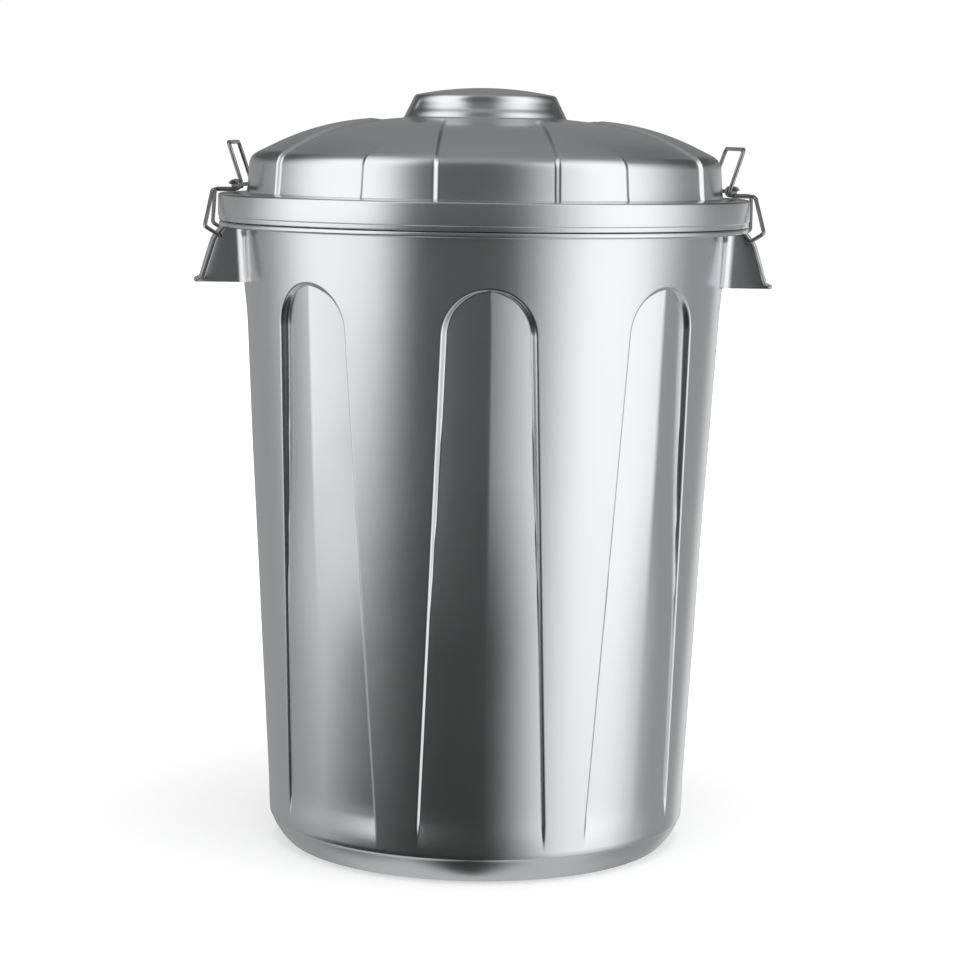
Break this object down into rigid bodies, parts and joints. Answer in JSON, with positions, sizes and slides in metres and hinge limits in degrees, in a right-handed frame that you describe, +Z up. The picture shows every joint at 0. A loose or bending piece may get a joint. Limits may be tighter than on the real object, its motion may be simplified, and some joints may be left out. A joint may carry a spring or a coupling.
{
  "type": "round lidded trash can",
  "caption": "Round tapered plastic bin with arched panels, a domed lid with a knob, hood handles and swinging wire lid clips.",
  "frame": {"origin": "centre of the foot ring on the floor", "axes": "+Z up along the bin's axis, the hood handles and wire clips on +X and -X, the front seen in the picture towards -Y"},
  "size_m": [0.5914, 0.542, 0.7738],
  "materials": {
    "silver_plastic": "silver-grey metallic plastic, satin gloss",
    "plated_wire": "zinc-plated round steel wire, half bright"
  },
  "bodies": {
    "bin": {"bin_body": "silver_plastic"},
    "lid": {"lid": "silver_plastic"},
    "right_bail": {"right_bail": "plated_wire"},
    "left_bail": {"left_bail": "plated_wire"},
    "right_lever": {"right_lever": "plated_wire"},
    "left_lever": {"left_lever": "plated_wire"}
  },
  "joints": [
    {"name": "lid_lift", "type": "slide", "parent": "bin", "child": "lid", "axis": [0, 0, 1], "range_m": [0, 0.6]},
    {"name": "right_bail_swing", "type": "hinge", "parent": "bin", "child": "right_bail", "pos_m": [0.2652, 0, 0.6222], "axis": [0, 1, 0], "range_deg": [0, 80]},
    {"name": "left_bail_swing", "type": "hinge", "parent": "bin", "child": "left_bail", "pos_m": [-0.2652, 0, 0.6222], "axis": [0, -1, 0], "range_deg": [0, 80]},
    {"name": "right_lever_swing", "type": "hinge", "parent": "right_bail", "child": "right_lever", "pos_m": [0.2545, 0, 0.6721], "axis": [0, 1, 0], "range_deg": [-18, 100]},
    {"name": "left_lever_swing", "type": "hinge", "parent": "left_bail", "child": "left_lever", "pos_m": [-0.2545, 0, 0.6721], "axis": [0, -1, 0], "range_deg": [-18, 100]}
  ]
}
